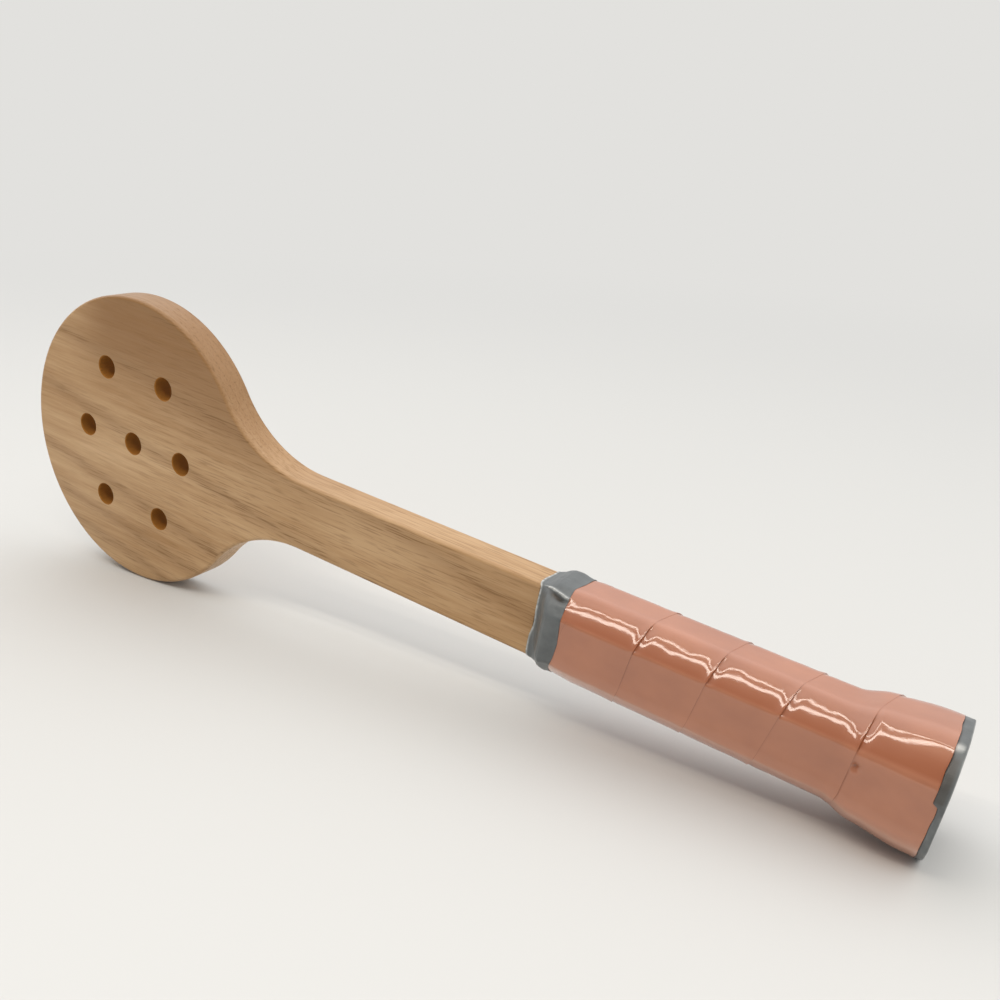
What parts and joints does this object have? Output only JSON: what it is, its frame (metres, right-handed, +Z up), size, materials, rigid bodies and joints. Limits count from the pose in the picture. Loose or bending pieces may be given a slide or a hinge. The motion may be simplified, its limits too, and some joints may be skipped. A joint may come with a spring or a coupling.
{
  "type": "wooden padel racket",
  "caption": "Short wooden racket with a round drilled head, a slim throat and a flared octagonal grip wound with a glossy strip, grey tape at both ends.",
  "frame": {"origin": "under the middle of the racket's box, on the surface that it stands on: the racket stands on edge, on the lower rim of its head and of its butt", "axes": "+X along the racket from the head to the butt, leaning down by about 7 degrees, +Y out of the rear face, +Z up, across the face"},
  "size_m": [0.3796, 0.0372, 0.1198],
  "materials": {
    "oak": "satin oiled, flat-sawn grain along the racket",
    "pallet_wood": "planed, unfinished",
    "cap_plastic": "moulded, satin",
    "disc_plastic": "moulded, satin, bare",
    "staple_steel": "galvanised wire",
    "grip_film": "glossy polyurethane film, finely wrinkled",
    "grey_tape": "satin stretched vinyl tape"
  },
  "bodies": {
    "root": {"blade": "oak", "front_handle_pallet": "pallet_wood", "rear_handle_pallet": "pallet_wood", "butt_cap": "cap_plastic", "butt_cap_disc": "disc_plastic", "front_cap_staple": "staple_steel", "rear_cap_staple": "staple_steel", "grip_band": "grip_film", "finishing_tape": "grey_tape", "butt_trim_tape": "grey_tape"}
  },
  "joints": []
}
